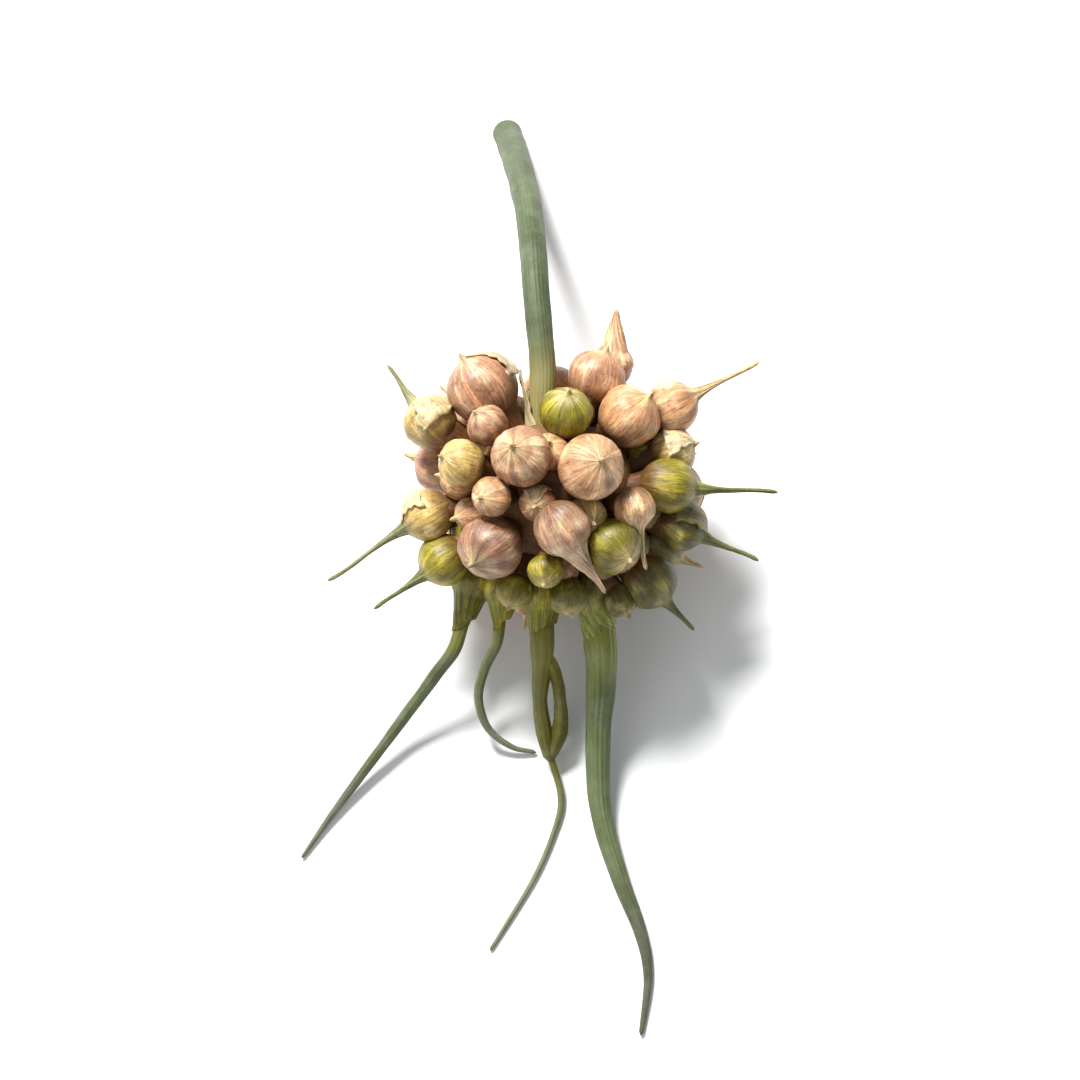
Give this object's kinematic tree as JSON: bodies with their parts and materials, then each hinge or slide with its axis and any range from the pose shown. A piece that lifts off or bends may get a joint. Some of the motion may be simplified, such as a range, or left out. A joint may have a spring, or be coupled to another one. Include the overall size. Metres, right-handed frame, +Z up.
{
  "type": "tree onion topset",
  "caption": "Round head of small beaked onion bulbs grown at the end of a cut hollow stalk, with thin green leaves sprouted from some of them, lying on its side.",
  "frame": {"origin": "centre of the small flat spot under the lowest bulbil, on which the head rests", "axes": "+Y from the head along the lying stalk, towards its cut end; +Z up; the side that the picture shows faces up and leans towards -Y"},
  "size_m": [0.0701, 0.1431, 0.0399],
  "materials": {
    "bulbil_skin": "dry papery skin with fine veins and a soft sheen, from straw through tan and pink to olive green",
    "stalk_green": "waxy green with a pale bloom and fine ribs",
    "leaf_green": "waxy green, yellower towards the base"
  },
  "bodies": {
    "root": {"bulbil_head": "bulbil_skin", "scape": "stalk_green", "leaf_broad": "leaf_green", "leaf_sheathed": "leaf_green", "leaf_curled": "leaf_green", "leaf_left": "leaf_green"}
  },
  "joints": []
}
